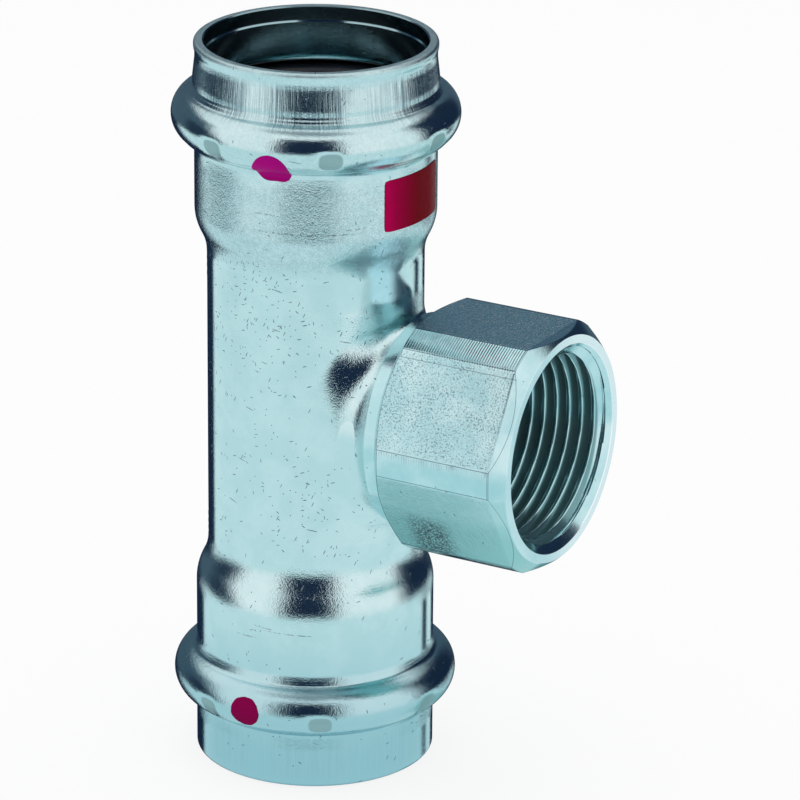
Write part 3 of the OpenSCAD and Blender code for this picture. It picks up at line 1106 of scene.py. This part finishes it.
    def patches(self) -> list[Patch]:
        """All grids of the body: sockets, tube, neck, and their insides.

        Returns:
            The grids, which close into one skin.
        """
        a, length = self.angles, self.run_length
        made = []
        for socket in (self.lower, self.upper):
            strips = self.in_run(socket, socket.outside() + socket.inside())
            made += [pressed(turned(s, a), self.relief) for s in strips]
        tube_low = self.lower.barrel_end + self.lower.shoulder
        tube_high = length - self.upper.barrel_end - self.upper.shoulder
        wall, around = self.window(self.lower.tube_r, tube_low, tube_high, self.blend_side,
                                   self.neck_r + self.blend_height, 18, 1.0, self.foot_power)
        made += [wall, self.neck(around, 20)]
        bore_r, n = self.lower.run_bore_r, self.neck_bore_r
        stops = [s.bead_height + s.stop_reach + s.stop_cone for s in (self.lower, self.upper)]
        bore, inner = self.window(bore_r, stops[0], length - stops[1], n / bore_r, n, 8, -1.0)
        made.append(bore)
        x_in = np.sqrt(bore_r ** 2 - (n * np.cos(inner)) ** 2)
        x = np.stack([x_in, np.full_like(x_in, self.neck_reach)])
        made.append(along_x(np.array(n), x, inner, -1.0, 0.0, self.branch_z))
        made.append(self.neck_end(around, inner))
        return made

    def neck_end(self, outer: Array, inner: Array) -> Patch:
        """Flat ring at the neck's end, between the outer columns' circle and the passage's."""
        r = np.array([[self.neck_bore_r], [self.neck_r]])
        turn = np.stack([inner, outer])
        return along_x(r, np.array(self.neck_reach), turn, 0.0, 1.0, self.branch_z)

    def make(self, finish: ZincSteel) -> bpy.types.Object:
        """Makes the piece."""
        return piece("tee_body_formed", self.patches(), finish.material(), "tee_body")


@dataclass
class ThreadedBranch:
    """The hexagonal connector: turned corners, chamfers, countersink and internal pipe thread."""

    rear: float = 15.3
    passage_r: float = 11.0
    web_end: float = 20.0
    shoulder_r: float = 13.9
    shoulder_length: float = 1.5
    face: float = 36.4
    half_flats: float = 15.0
    corner_r: float = 16.45
    rear_r: float = 13.9
    rear_chamfer: float = 1.75
    face_r: float = 14.75
    front_chamfer: float = 1.8
    countersink_r: float = 13.65
    minor_r: float = 12.0585
    thread_depth: float = 1.1615
    pitch: float = 1.814
    thread_start: float = 20.6
    run_out: float = 1.5
    crest_share: float = 0.97
    axis_z: float = 48.5
    flat_steps: int = 24
    corner_steps: int = 8

    @property
    def corner_turn(self) -> float:
        """Angle from a flat's middle to its end, in radians."""
        return math.acos(self.half_flats / self.corner_r)

    def sector(self, k: int) -> tuple[Array, Array]:
        """Column angles of flat k and of the round corner after it."""
        middle, half = math.radians(90 - 60 * k), self.corner_turn
        flat = middle + np.linspace(half, -half, self.flat_steps + 1)
        corner = middle - np.linspace(half, math.radians(60) - half, self.corner_steps + 1)
        return flat, corner

    def outline(self, angles: Array) -> Array:
        """Outer radius: half flats over the cosine of the angle off the flat, or the corner's radius."""
        off = (angles - math.radians(90) + math.radians(30)) % math.radians(60) - math.radians(30)
        return np.minimum(self.half_flats / np.cos(off), self.corner_r)

    def chamfer_places(self, radius: Array) -> tuple[Array, Array]:
        """Where the rear and front cones reach each outer radius, along X."""
        start = self.rear + self.shoulder_length
        rear = start + self.rear_chamfer * (radius - self.rear_r) / (self.corner_r - self.rear_r)
        front = self.face - self.front_chamfer * (radius - self.face_r) / (self.corner_r - self.face_r)
        return rear, front

    def thread(self, x: Array, angles: Array) -> Array:
        """Radius of the threaded bore, cut by the countersink.

        The thread rises from the minor radius by its depth times a rounded triangle wave of
        place over pitch less turn, and runs out softly towards the rear. The wave is the arcsine of
        a cosine that stays short of 1 by the crest's share, which rounds its crests.

        Args:
            x: places along the axis.
            angles: directions in radians.

        Returns:
            The radii.
        """
        phase = 2 * math.pi * (x / self.pitch - angles / (2 * math.pi))
        wave = np.arcsin(self.crest_share * np.cos(phase)) / math.asin(self.crest_share)
        full = np.clip((x - self.thread_start) / self.run_out, 0.0, 1.0)
        cut = self.minor_r + full * self.thread_depth * (0.5 - 0.5 * wave)
        cone = self.countersink_r - (self.face - x)
        return np.maximum(cut, cone)

    def sides(self) -> tuple[list[Patch], Array]:
        """The six flats and the six round corners between the cones.

        Returns:
            The grids, and the directions of all their columns once round.
        """
        made, columns = [], []
        shares = np.linspace(0.0, 1.0, 13)[:, None]
        for k in range(6):
            middle = math.radians(90 - 60 * k)
            normal = np.array([0.0, math.cos(middle), math.sin(middle)])
            for angles, flat in zip(self.sector(k), (True, False)):
                rear, front = self.chamfer_places(self.outline(angles))
                x = rear + shares * (front - rear)
                patch = along_x(self.outline(angles), x, angles, 1.0, 0.0, self.axis_z)
                if flat:
                    patch = Patch(patch.points, np.broadcast_to(normal, patch.points.shape))
                made.append(patch)
                columns.append(angles[:-1])
        a = np.concatenate(columns)
        return made, np.append(a, a[0] - 2 * math.pi)

    def patches(self) -> list[Patch]:
        """All grids of the connector, which close into one skin.

        Returns:
            The grids.
        """
        made, a = self.sides()
        corner, start = self.outline(a), self.rear + self.shoulder_length
        rear, front = self.chamfer_places(corner)
        t = np.linspace(0.0, 1.0, 5)[:, None]

        def ring(inner: Array | float, outer: Array | float, x_in: Array | float, x_out: Array | float,
                 n_radial: float, n_axial: float) -> None:
            """Adds a band round the axis, from one radius and place to another."""
            x = x_in + t * (x_out - x_in)
            made.append(along_x(inner + t * (outer - inner), x, a, n_radial, n_axial, self.axis_z))

        widening = self.rear_r - self.shoulder_r
        ring(self.rear_r, corner, start, rear, self.rear_chamfer, self.rear_r - self.corner_r)
        ring(self.shoulder_r, self.rear_r, self.rear, start, self.shoulder_length, -widening)
        ring(corner, self.face_r, front, self.face, self.front_chamfer, self.corner_r - self.face_r)
        ring(self.face_r, self.countersink_r, self.face, self.face, 0.0, 1.0)
        ring(self.passage_r, self.shoulder_r, self.rear, self.rear, 0.0, -1.0)
        ring(self.passage_r, self.passage_r, self.rear, self.web_end, -1.0, 0.0)
        ring(self.passage_r, self.minor_r, self.web_end, self.web_end, 0.0, 1.0)
        made.append(self.bore(a))
        return made

    def bore(self, a: Array) -> Patch:
        """Threaded bore from the web to the end face, with normals from the radius' slopes."""
        plain = np.linspace(self.web_end, self.thread_start, 3)[:-1]
        x = np.concatenate([plain, np.linspace(self.thread_start, self.face, 160)])[:, None]
        d = 1e-3
        radius = self.thread(x, a)
        by_x = (self.thread(x + d, a) - self.thread(x - d, a)) / (2 * d)
        by_turn = (self.thread(x, a + d) - self.thread(x, a - d)) / (2 * d) / radius
        base = along_x(radius, x, a, -1.0, by_x, self.axis_z)
        sideways = np.stack(np.broadcast_arrays(0.0 * radius, -np.sin(a), np.cos(a)), axis=-1)
        length = np.sqrt(1 + by_x ** 2)[..., None]
        return Patch(base.points, unit(base.normals * length + by_turn[..., None] * sideways))

    def make(self, finish: TurnedSteel) -> bpy.types.Object:
        """Makes the piece."""
        return piece("threaded_branch_turned", self.patches(), finish.material(),
                     "threaded_branch")


@dataclass
class SealRing:
    """A rubber ring: round section with a crown that fills its groove's crown."""

    name: str
    height: float
    section_r: float = 1.525
    centre_r: float = 15.625
    columns: int = 120

    def patches(self) -> list[Patch]:
        """The round section carried round the run."""
        strip = arc((self.centre_r, self.height), self.section_r, -180, 180, 36)
        return [turned(strip, np.linspace(-math.pi, math.pi, self.columns + 1))]

    def make(self, material: bpy.types.Material) -> bpy.types.Object:
        """Makes the piece."""
        return piece(self.name + "_rubber", self.patches(), material, self.name)


@dataclass
class PaintMark:
    """A film of paint on the outside of a socket: a closed thin disc of any round or square outline."""

    name: str
    slot: str
    strips: list[Strip]
    direction: float
    height: float
    edge: Callable[[Array], tuple[Array, Array]]
    film: float = 0.115
    lift: float = 0.01
    edge_share: float = 0.65
    edge_power: float = 12.0

    def skin(self, across: Array, up: Array, out: Array) -> tuple[Array, Array]:
        """Places on the socket's outside, counted in millimetres along it from the mark's middle.

        Args:
            across: way round the run.
            up: way along the section.
            out: distance over the skin.

        Returns:
            Points and outward normals.
        """
        pairs = np.concatenate([s.points for s in self.strips])
        normals = np.concatenate([s.normals for s in self.strips])
        order = np.argsort(pairs[:, 1], kind="stable")
        pairs, normals = pairs[order], normals[order]
        way = np.append(0.0, np.cumsum(np.linalg.norm(np.diff(pairs, axis=0), axis=1)))
        middle = np.interp(self.height, pairs[:, 1], way)
        r, z, nr, nz = (np.interp(middle + up, way, v) for v in (*pairs.T, *normals.T))
        centre_r = np.interp(middle, way, pairs[:, 0])
        turn = math.radians(self.direction) + across / centre_r
        c, s = np.cos(turn), np.sin(turn)
        points = np.stack([(r + out * nr) * c, (r + out * nr) * s, z + out * nz], axis=-1)
        return points, unit(np.stack([nr * c, nr * s, nz], axis=-1))

    def patches(self) -> list[Patch]:
        """Top, rim and underside of the film, as rings between its middle and its edge, where the
        film thins to a share of its thickness.

        Returns:
            The grids.
        """
        turn = np.linspace(0.0, 2 * math.pi, 97)
        across, up = self.edge(turn)
        share = np.sqrt(np.linspace(0.0, 1.0, 17))[:, None]
        top_out = self.lift + self.film * (1 - (1 - self.edge_share) * share ** self.edge_power)
        top = Patch(*self.skin(share * across, share * up, top_out))
        low = Patch(*self.skin(share * across, share * up, np.array(self.lift)))
        outs = np.array([[self.lift], [self.lift + self.edge_share * self.film]])
        wall, normals = self.skin(np.repeat(across[None], 2, 0), np.repeat(up[None], 2, 0), outs)
        away = unit(wall - top.points[:1, :1])
        flat = unit(away - (away * normals).sum(-1, keepdims=True) * normals)
        return [top, Patch(wall, flat), Patch(low.points, -low.normals)]

    def make(self, finish: MarkPaint) -> bpy.types.Object:
        """Makes the piece."""
        return piece(self.name + "_film", self.patches(), finish.material(), self.name)


def square_edge(turn: Array) -> tuple[Array, Array]:
    """Band mark: a rectangle as a superellipse of high power, which rounds its corners a little."""
    half_wide, half_high, power = 5.85, 3.4, 24
    c, s = np.cos(turn), np.sin(turn)
    reach = (np.abs(c / half_wide) ** power + np.abs(s / half_high) ** power) ** (-1 / power)
    return reach * c, reach * s


def egg_edge(turn: Array) -> tuple[Array, Array]:
    """Upper dot: an egg, wide on the left and drawn out to the lower right."""
    reach = 2.16 + 0.10 * np.cos(turn - 2.8) + 0.7 * np.exp(-((turn - 5.45) / 0.55) ** 2)
    reach = reach + 0.8 * np.exp(-((turn - 3.75) / 0.7) ** 2)
    return reach * np.cos(turn) * 1.04 + 0.1, reach * np.sin(turn) * 1.2 - 0.15


def round_edge(turn: Array) -> tuple[Array, Array]:
    """Lower dot: round with a slightly ragged edge."""
    reach = 2.04 + 0.03 * np.cos(5 * turn + 1.0) + 0.02 * np.cos(11 * turn) + 0.012 * np.cos(23 * turn)
    return reach * np.cos(turn), reach * np.sin(turn)


@dataclass(frozen=True)
class Shade:
    """A dark or tinted part of the studio, as mirrors see it, between directions and elevations.

    Directions are counted in degrees from the camera's. Its sides lean with the elevation.
    """

    start: float
    end: float
    low: float
    high: float
    colour: Colour
    depth: float = 1.0
    soft: float = 3.0
    lean: float = 0.0


def bare_material(name: str) -> tuple[bpy.types.Material, Graph]:
    """A new material whose node tree is empty, with the graph to fill it."""
    material = bpy.data.materials.new(name)
    material.use_nodes = True
    g = Graph(material.node_tree)
    g.tree.nodes.clear()
    return material, g


@dataclass
class Studio:
    """Pale floor, an overhead light, and bright walls with dark gaps round the set."""

    camera_direction: float = -60.3
    white: Colour = (1.0, 1.0, 1.0)
    table: Colour = (0.72, 0.87, 0.89)
    navy: Colour = (0.010, 0.022, 0.050)
    slate: Colour = (0.07, 0.11, 0.15)
    teal: Colour = (0.20, 0.45, 0.46)
    plain: Colour = (0.9, 0.9, 0.9)
    floor_half: float = 2.5
    floor_drop: float = 0.0002
    floor_glow: float = 0.85
    plain_light: float = 0.75
    lamp_size: float = 0.5
    lamp_watts: float = 1.1
    lamp_place: Triple = (-0.05, 0.05, 0.62)

    def shades(self) -> list[Shade]:
        """Dark gaps over the table's edge, on the camera's side, left, right and back, with a soft
        one overhead; then the table's own darker ends."""
        return [
            Shade(-30, 19, -14.0, 46, self.navy, 1.0, 3.0),
            Shade(-75, 45, 66, 95, self.slate, 0.7, 25.0),
            Shade(-200, -86, -14.0, 30, self.slate, 1.0, 5.0, 0.5),
            Shade(-118, -90, -16, 12, self.navy, 0.8, 5.0),
            Shade(95, 166, -14.0, 40, self.navy, 1.0, 6.0),
            Shade(160, 200, -14.0, 40, self.slate, 1.0, 8.0),
            Shade(-203, -139, -45, -15, self.navy, 1.0, 2.0),
            Shade(131, 140, -24, -17, self.navy, 1.0, 2.0),
            Shade(108, 165, -44, -30, self.teal, 0.7, 8.0),
        ]

    def floor(self) -> bpy.types.Object:
        """Makes the floor: plain diffuse, mostly white to the camera, left out of mirror rays."""
        mesh = bpy.data.meshes.new("floor")
        edge, low = self.floor_half, -self.floor_drop
        corners = [(-edge, -edge, low), (edge, -edge, low), (edge, edge, low), (-edge, edge, low)]
        mesh.from_pydata(corners, [], [(0, 1, 2, 3)])
        material, g = bare_material("floor")
        path = g.node("ShaderNodeLightPath", {})
        plain = g.node("ShaderNodeBsdfDiffuse", {"Color": self.plain})
        glow = g.node("ShaderNodeEmission", {"Color": self.white, "Strength": 1.0})
        seen = g.times(path.outputs["Is Camera Ray"], self.floor_glow)
        both = g.node("ShaderNodeMixShader", {0: seen, 1: plain.outputs[0], 2: glow.outputs[0]})
        g.node("ShaderNodeOutputMaterial", {0: both.outputs[0]})
        mesh.materials.append(material)
        made = bpy.data.objects.new("floor", mesh)
        made.visible_glossy = False
        bpy.context.collection.objects.link(made)
        return made

    def surroundings(self, g: Graph) -> Socket:
        """Colour of the studio in each direction, as mirrors see it.

        Args:
            g: the world's graph.

        Returns:
            The colour: the table below, bright walls above, and the shades.
        """
        way = g.node("ShaderNodeTexCoord", {}).outputs["Generated"]
        x, y, z = g.node("ShaderNodeSeparateXYZ", {0: way}).outputs
        turn = g.minus(g.math("ARCTAN2", y, x), math.radians(self.camera_direction))
        turn = g.times(turn, math.degrees(1))
        rise = g.times(g.math("ARCSINE", z), math.degrees(1))
        colour = g.mix(g.ramp(rise, -18.0, -13.0), self.table, self.white)
        for shade in self.shades():
            middle = (shade.start + shade.end) / 2
            half = (shade.end - shade.start) / 2
            off = g.scaled(rise, shade.lean, g.minus(turn, middle))
            off = g.math("WRAP", off, 180.0, -180.0)
            across = g.effect(Effect.WINDOW, Value=off, Low=-half, High=half, Soft=shade.soft)["Mask"]
            up = g.effect(Effect.WINDOW, Value=rise, Low=shade.low, High=shade.high, Soft=2.0)["Mask"]
            colour = g.mix(g.times(across, up, shade.depth), colour, shade.colour)
        return colour

    def world(self) -> None:
        """Sets the world: white to the camera, the studio to mirrors, even light to the rest."""
        world = bpy.data.worlds.new("studio")
        bpy.context.scene.world = world
        world.use_nodes = True
        g = Graph(world.node_tree)
        g.tree.nodes.clear()
        path = g.node("ShaderNodeLightPath", {})
        mirror = g.most(path.outputs["Is Glossy Ray"], path.outputs["Is Transmission Ray"])
        colour = g.mix(mirror, self.white, self.surroundings(g))
        seen = g.most(path.outputs["Is Camera Ray"], mirror)
        strength = g.scaled(seen, 1.0 - self.plain_light, self.plain_light)
        sky = g.node("ShaderNodeBackground", {"Color": colour, "Strength": strength})
        g.node("ShaderNodeOutputWorld", {0: sky.outputs[0]})

    def overhead(self) -> None:
        """Adds the overhead light, a square area lamp."""
        lamp = bpy.data.lights.new("overhead", "AREA")
        lamp.shape = "SQUARE"
        lamp.size = self.lamp_size
        lamp.energy = self.lamp_watts
        made = bpy.data.objects.new("overhead", lamp)
        made.location = self.lamp_place
        made.visible_glossy = False
        bpy.context.collection.objects.link(made)

    def card(self, start: float, end: float, low: float, high: float, distance: float) -> bpy.types.Object:
        """Hangs a dark curved card near the set, for mirror rays only.

        Args:
            start: first direction in degrees from the camera's.
            end: last direction.
            low: height of its lower edge in millimetres.
            high: height of its upper edge.
            distance: distance from the run's axis.

        Returns:
            The stage object.
        """
        a = np.radians(self.camera_direction + np.linspace(start, end, 9))
        ray = np.stack([np.cos(a), np.sin(a), 0.0 * a], axis=-1)
        points = distance * ray + np.array([[[0.0, 0.0, low]], [[0.0, 0.0, high]]])
        points, quads, _, _ = welded([Patch(points, np.broadcast_to(-ray, points.shape))])
        mesh = bpy.data.meshes.new("near_card")
        mesh.from_pydata((points * MM).tolist(), [], quads.tolist())
        material, g = bare_material("near_card")
        glow = g.node("ShaderNodeEmission", {"Color": self.navy, "Strength": 1.0})
        g.node("ShaderNodeOutputMaterial", {0: glow.outputs[0]})
        mesh.materials.append(material)
        made = bpy.data.objects.new("near_card", mesh)
        bpy.context.collection.objects.link(made)
        made.visible_camera = made.visible_shadow = made.visible_diffuse = False
        return made

    def make(self) -> None:
        """Builds floor, card, world and lamp."""
        self.floor()
        self.card(-18.0, 4.0, 88.0, 124.0, 60.0)
        self.world()
        self.overhead()
        LOG.info("stage: %d shades", len(self.shades()))


@dataclass(frozen=True)
class Viewpoint:
    """The camera: a long lens at the photograph's viewing angle."""

    azimuth: float = 29.704
    elevation: float = 20.753
    distance: float = 700.0
    right: float = 10.964
    height: float = 48.122
    roll: float = 0.452
    focal_pixels: float = 5394.4
    frame_pixels: float = 800.0
    sensor: float = 36.0

    def make(self) -> bpy.types.Object:
        """Makes the camera and gives it to the scene.

        Returns:
            The camera.
        """
        a, e, roll = (math.radians(v) for v in (self.azimuth, self.elevation, self.roll))
        aim = np.array([math.cos(a), math.sin(a), 0.0]) * self.right + [0.0, 0.0, self.height]
        back = np.array([math.sin(a) * math.cos(e), -math.cos(a) * math.cos(e), math.sin(e)])
        level = unit(np.cross(-back, [0.0, 0.0, 1.0]))
        rise = np.cross(level, -back)
        right = level * math.cos(roll) + rise * math.sin(roll)
        up = rise * math.cos(roll) - level * math.sin(roll)
        data = bpy.data.cameras.new("camera")
        data.sensor_width = self.sensor
        data.lens = self.focal_pixels / self.frame_pixels * self.sensor
        data.clip_start, data.clip_end = 0.01, 20.0
        made = bpy.data.objects.new("camera", data)
        turn = Matrix([list(v) for v in zip(right, up, back)])
        made.matrix_world = Matrix.Translation((aim + self.distance * back) * MM) @ turn.to_4x4()
        bpy.context.collection.objects.link(made)
        bpy.context.scene.camera = made
        return made


def main() -> None:
    """Builds the pieces and the studio."""
    logging.basicConfig(level=logging.INFO, format="%(name)s: %(message)s")
    bpy.context.scene.view_settings.view_transform = "Standard"
    Viewpoint().make()
    build_effects()
    body = TeeBody()
    body.make(ZincSteel())
    ThreadedBranch().make(TurnedSteel())
    rubber = SealRubber().material()
    SealRing("lower_seal_ring", body.lower.bead_height).make(rubber)
    SealRing("upper_seal_ring", body.run_length - body.upper.bead_height).make(rubber)
    upper, lower = (body.in_run(socket, socket.outside()) for socket in (body.upper, body.lower))
    # the band's last colour is painted shade on the side turned away from the viewer
    band_paint = MarkPaint("band_paint", (0.52, 0.0, 0.09), (0.46, 0.0, 0.07), 0.24, (0.16, 0.0, 0.006))
    dot_paint = MarkPaint("dot_paint", (0.42, 0.003, 0.22), (0.36, 0.003, 0.18), 0.35)
    # painted shade: the lower dot is a darker copy of the upper dot's crimson paint
    shaded_dot_paint = MarkPaint("shaded_lower_dot_paint", (0.25, 0.002, 0.068), (0.20, 0.002, 0.052), 0.6)
    PaintMark("red_band_mark", "red_paint", upper, -4.0, 78.8, square_edge).make(band_paint)
    PaintMark("upper_paint_dot", "crimson_paint", upper, -78.2, 84.9, egg_edge).make(dot_paint)
    PaintMark("lower_paint_dot", "crimson_paint", lower, -89.0, 10.9, round_edge).make(shaded_dot_paint)
    Studio().make()


if __name__ == "__main__":
    main()
